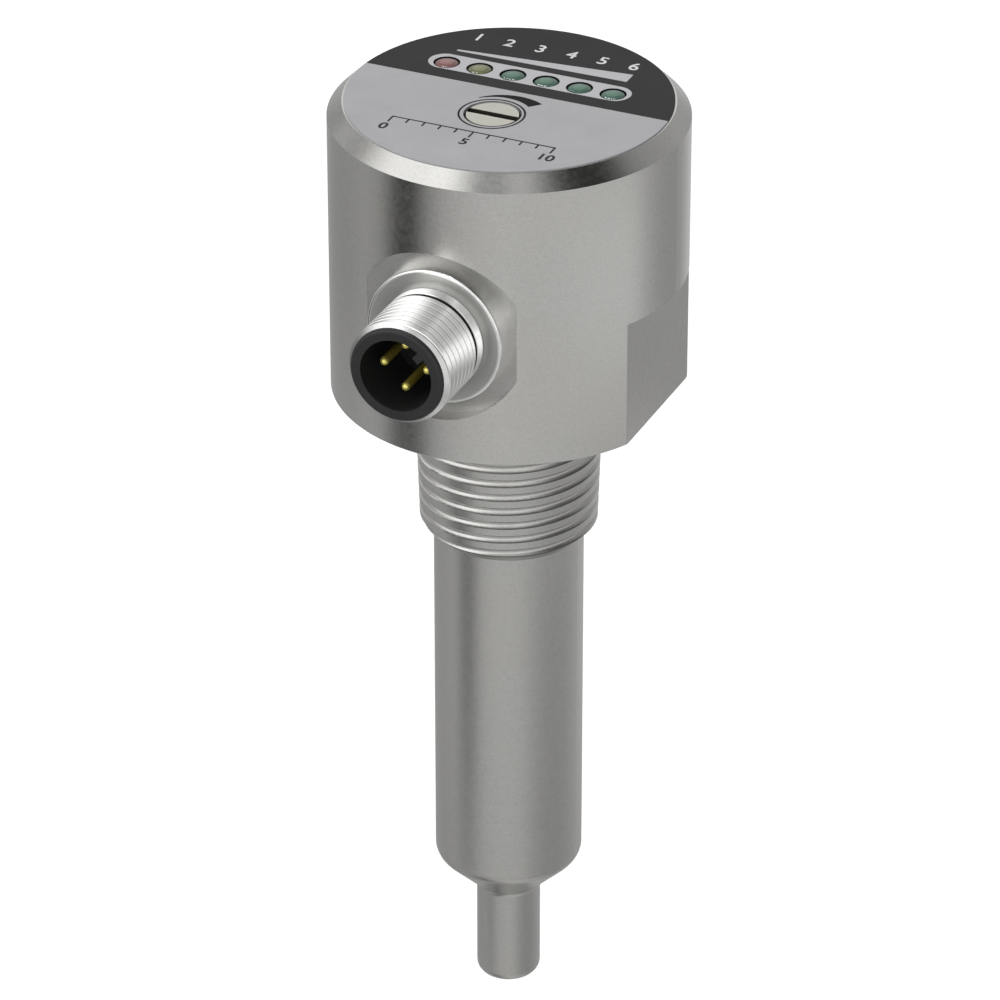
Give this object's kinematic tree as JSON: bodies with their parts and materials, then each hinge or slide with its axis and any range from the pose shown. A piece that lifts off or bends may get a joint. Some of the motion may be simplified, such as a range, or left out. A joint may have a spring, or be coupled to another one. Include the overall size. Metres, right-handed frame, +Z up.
{
  "type": "thermal flow sensor",
  "caption": "Screw-in thermal flow sensor: round steel housing with a lamp bar and slotted adjuster on top, side plug connector, tapered pipe thread and long stepped probe.",
  "frame": {"origin": "centre of the housing's flat underside (the sealing face), on the probe axis", "axes": "+Z up along the probe axis towards the top panel; the plug connector points along -Y; the spanner flats face +X and -X"},
  "size_m": [0.04, 0.0497, 0.1144],
  "materials": {
    "steel_housing": "fine bead-blasted stainless steel, satin",
    "steel_probe": "fine turned stainless steel, satin",
    "steel_connector": "bright turned stainless steel",
    "steel_plain": "plain turned steel",
    "black_moulding": "black moulded plastic, fine texture",
    "grey_moulding": "grey moulded plastic",
    "ivory_moulding": "ivory moulded plastic",
    "white_moulding": "white moulded plastic",
    "blue_moulding": "blue moulded plastic",
    "gold_contact": "gold-plated brass",
    "black_rubber": "black elastomer",
    "label_film": "printed polyester film, matt, black and grey fields",
    "led_red": "tinted clear resin",
    "led_yellow": "tinted clear resin",
    "led_green": "tinted clear resin",
    "tinned_lead": "tinned wire",
    "circuit_board": "green glass-epoxy board",
    "grey_component": "dark grey component body",
    "wire_sleeve": "plastic wire sleeve",
    "ceramic": "alumina ceramic",
    "grey_resin": "filled casting resin"
  },
  "bodies": {
    "root": {"housing": "steel_housing", "probe_body": "steel_probe", "connector_shell": "steel_connector", "connector_insert": "black_moulding", "contact_pins": "gold_contact", "connector_seal": "black_rubber", "connector_nut": "steel_plain", "front_cover": "grey_moulding", "cover_seal": "black_rubber", "front_label": "label_film", "led_red": "led_red", "led_yellow": "led_yellow", "led_green": "led_green", "led_leads": "tinned_lead", "trimmer_body": "blue_moulding", "display_board": "circuit_board", "board_screws": "steel_plain", "main_board": "circuit_board", "board_header": "black_moulding", "header_pins": "gold_contact", "controller_chip": "black_moulding", "power_parts": "grey_component", "hookup_wires": "wire_sleeve", "sensor_holder": "white_moulding", "heater_element": "ceramic", "heated_sensor": "ceramic", "reference_sensor": "ceramic", "thermal_filler": "grey_resin", "sensor_leads": "tinned_lead"},
    "adjuster": {"adjuster_screw": "ivory_moulding", "adjuster_seal": "black_rubber", "trimmer_rotor": "white_moulding"}
  },
  "joints": [
    {"name": "adjuster_turn", "type": "hinge", "parent": "root", "child": "adjuster", "pos_m": [0, -0.00447, 0.034], "axis": [0, 0, 1], "range_deg": [-135, 135]}
  ]
}
